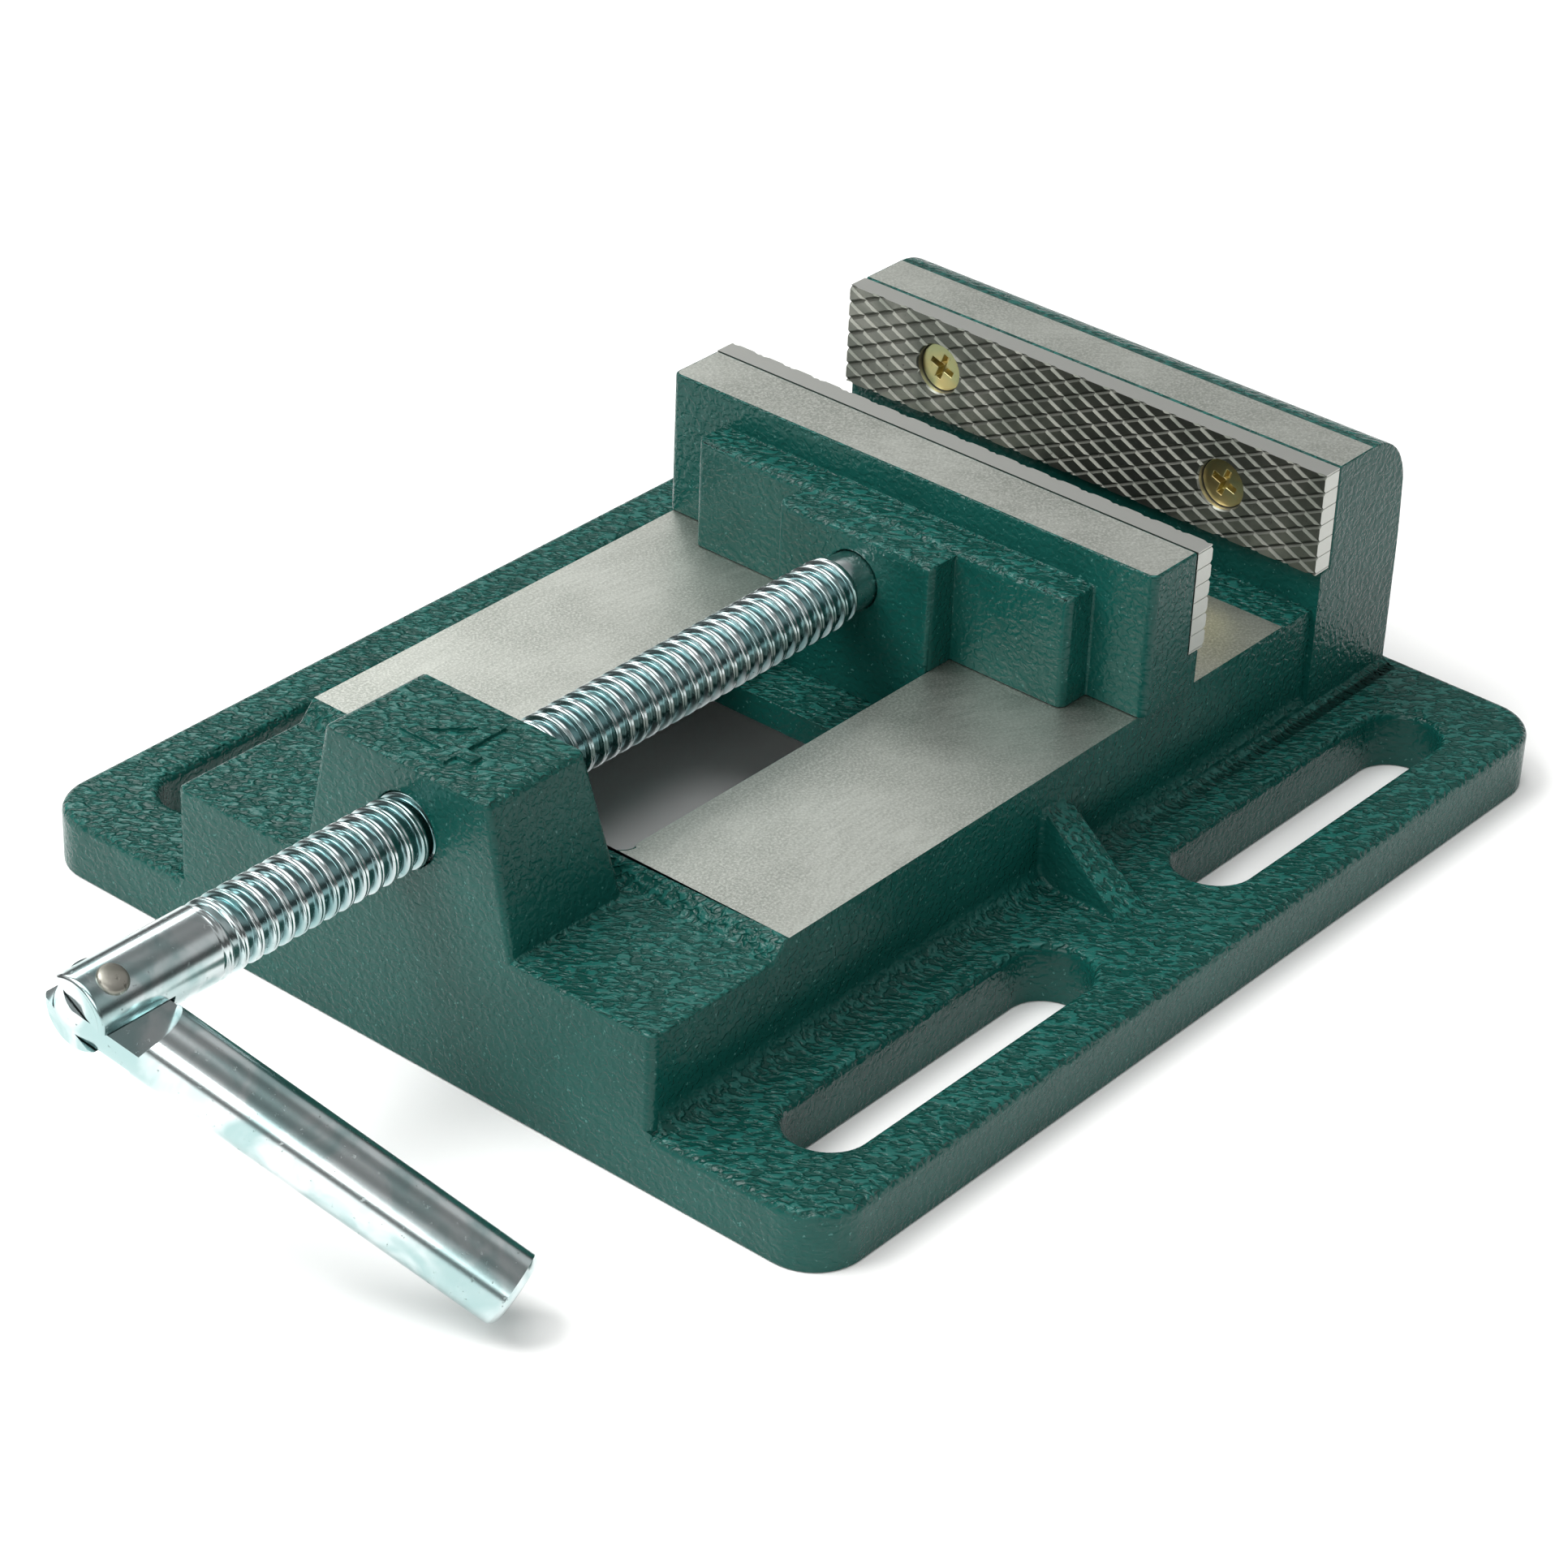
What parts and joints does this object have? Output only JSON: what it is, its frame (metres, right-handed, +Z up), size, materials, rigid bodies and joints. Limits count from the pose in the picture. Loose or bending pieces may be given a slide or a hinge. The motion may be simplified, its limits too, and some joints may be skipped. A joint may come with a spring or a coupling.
{
  "type": "drill press vise",
  "caption": "Cast-iron drill-press vise with slotted table flanges, a keeper-guided moving jaw, serrated jaw plates and a lead screw with a hinged bar handle.",
  "frame": {"origin": "centre of the four table slots, on the underside of the base", "axes": "+Z up from the table, +X along the lead screw from the handle to the fixed jaw"},
  "size_m": [0.2559, 0.163, 0.0562],
  "materials": {
    "base_casting": "glossy wrinkle enamel with machined rails and jaw top",
    "moving_jaw": "glossy wrinkle enamel with machined top",
    "keeper_plate": "glossy enamel",
    "fixed_jaw_plate": "serrated, dark",
    "moving_jaw_plate": "serrated, dark",
    "lead_screw": "bright zinc plated",
    "handle_bar": "bright zinc plated",
    "handle_rivet": "bright zinc plated",
    "screw_retaining_pin": "black spring steel",
    "fixed_plate_screw_left": "yellow zinc plated",
    "fixed_plate_screw_right": "yellow zinc plated",
    "moving_plate_screw_left": "yellow zinc plated",
    "moving_plate_screw_right": "yellow zinc plated",
    "keeper_bolt_front": "zinc plated",
    "keeper_bolt_rear": "zinc plated",
    "keeper_washer_front": "zinc plated",
    "keeper_washer_rear": "zinc plated"
  },
  "bodies": {
    "base": {"base_casting": "base_casting", "fixed_jaw_plate": "fixed_jaw_plate", "fixed_plate_screw_left": "fixed_plate_screw_left", "fixed_plate_screw_right": "fixed_plate_screw_right"},
    "moving_jaw": {"moving_jaw": "moving_jaw", "moving_jaw_plate": "moving_jaw_plate", "moving_plate_screw_left": "moving_plate_screw_left", "moving_plate_screw_right": "moving_plate_screw_right", "keeper_plate": "keeper_plate", "keeper_bolt_front": "keeper_bolt_front", "keeper_bolt_rear": "keeper_bolt_rear", "keeper_washer_front": "keeper_washer_front", "keeper_washer_rear": "keeper_washer_rear", "screw_retaining_pin": "screw_retaining_pin"},
    "screw": {"lead_screw": "lead_screw", "handle_rivet": "handle_rivet"},
    "handle": {"handle_bar": "handle_bar"}
  },
  "joints": [
    {"name": "jaw_slide", "type": "slide", "parent": "base", "child": "moving_jaw", "axis": [1, 0, 0], "range_m": [-0.0688, 0.0308]},
    {"name": "screw_turn", "type": "hinge", "parent": "moving_jaw", "child": "screw", "pos_m": [0, 0, 0.04135], "axis": [1, 0, 0], "range_deg": [-8260, 3700]},
    {"name": "handle_swing", "type": "hinge", "parent": "screw", "child": "handle", "pos_m": [-0.155, 0, 0.04135], "axis": [0, -0.5225, 0.8526], "range_deg": [-220, 0]}
  ],
  "couplings": [
    {"joint": "screw_turn", "follows": "jaw_slide", "rad_per_m": 2094.4}
  ]
}
